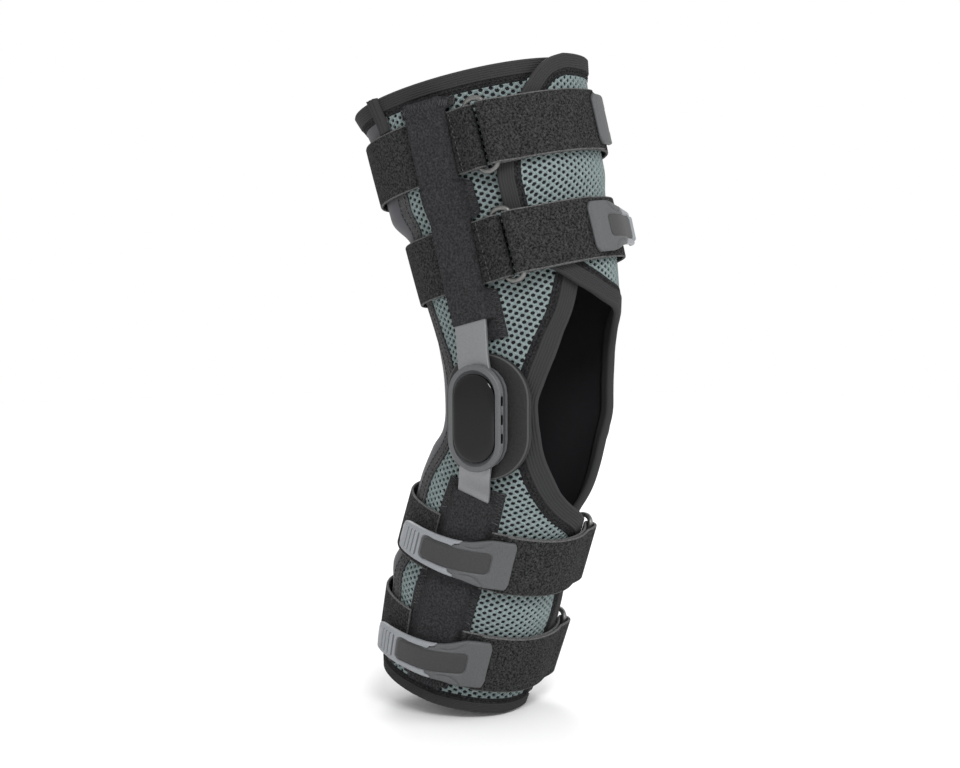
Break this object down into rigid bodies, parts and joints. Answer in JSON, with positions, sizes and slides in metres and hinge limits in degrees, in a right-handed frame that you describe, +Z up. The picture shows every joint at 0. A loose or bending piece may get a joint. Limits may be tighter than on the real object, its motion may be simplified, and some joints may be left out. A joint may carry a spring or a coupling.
{
  "type": "knee ligament brace",
  "caption": "Hinged wraparound knee brace for a right leg: mesh sleeve with bound edges and kneecap opening, side hinges with arms in pockets, and thigh and calf straps with rings and tabs.",
  "frame": {"origin": "middle of the knee, half way between the two hinges, where the leg goes through", "axes": "+Z up along the standing leg, -Y to the front of the knee, -X to the outer side of a right leg"},
  "size_m": [0.1568, 0.1832, 0.4247],
  "materials": {
    "mesh": "open spacer mesh, teal grey over black",
    "stretch": "smooth charcoal stretch cloth",
    "tape": "ribbed black elastic tape",
    "pile": "black loop pile",
    "arm": "satin grey coating",
    "housing": "satin dark grey",
    "cap": "gloss black",
    "pad": "smooth dark foam",
    "ring": "satin grey metal",
    "tab": "satin dark grey, soft touch",
    "grip": "satin light grey"
  },
  "bodies": {
    "root": {"lateral_panel": "mesh", "medial_panel": "mesh", "back_panel": "stretch", "lateral_seam_tape": "tape", "medial_seam_tape": "tape", "top_binding": "tape", "bottom_binding": "tape", "lateral_front_binding": "tape", "medial_front_binding": "tape", "seam_fold": "tape", "lateral_upper_arm": "arm", "lateral_lower_arm": "arm", "lateral_hinge_plate": "housing", "lateral_hinge_cover": "housing", "lateral_hinge_cap": "cap", "lateral_condyle_pad": "pad", "lateral_thigh_pocket": "pile", "lateral_calf_pocket": "pile", "medial_upper_arm": "arm", "medial_lower_arm": "arm", "medial_hinge_plate": "housing", "medial_hinge_cover": "housing", "medial_hinge_cap": "cap", "medial_condyle_pad": "pad", "medial_thigh_pocket": "pile", "medial_calf_pocket": "pile", "thigh_upper_ring_strap": "pile", "thigh_upper_pull_strap": "pile", "thigh_upper_ring": "ring", "thigh_upper_tab_body": "tab", "thigh_upper_tab_grip": "grip", "thigh_lower_ring_strap": "pile", "thigh_lower_pull_strap": "pile", "thigh_lower_ring": "ring", "thigh_lower_tab_body": "tab", "thigh_lower_tab_grip": "grip", "calf_upper_ring_strap": "pile", "calf_upper_pull_strap": "pile", "calf_upper_ring": "ring", "calf_upper_tab_body": "tab", "calf_upper_tab_grip": "grip", "calf_lower_ring_strap": "pile", "calf_lower_pull_strap": "pile", "calf_lower_ring": "ring", "calf_lower_tab_body": "tab", "calf_lower_tab_grip": "grip"}
  },
  "joints": []
}
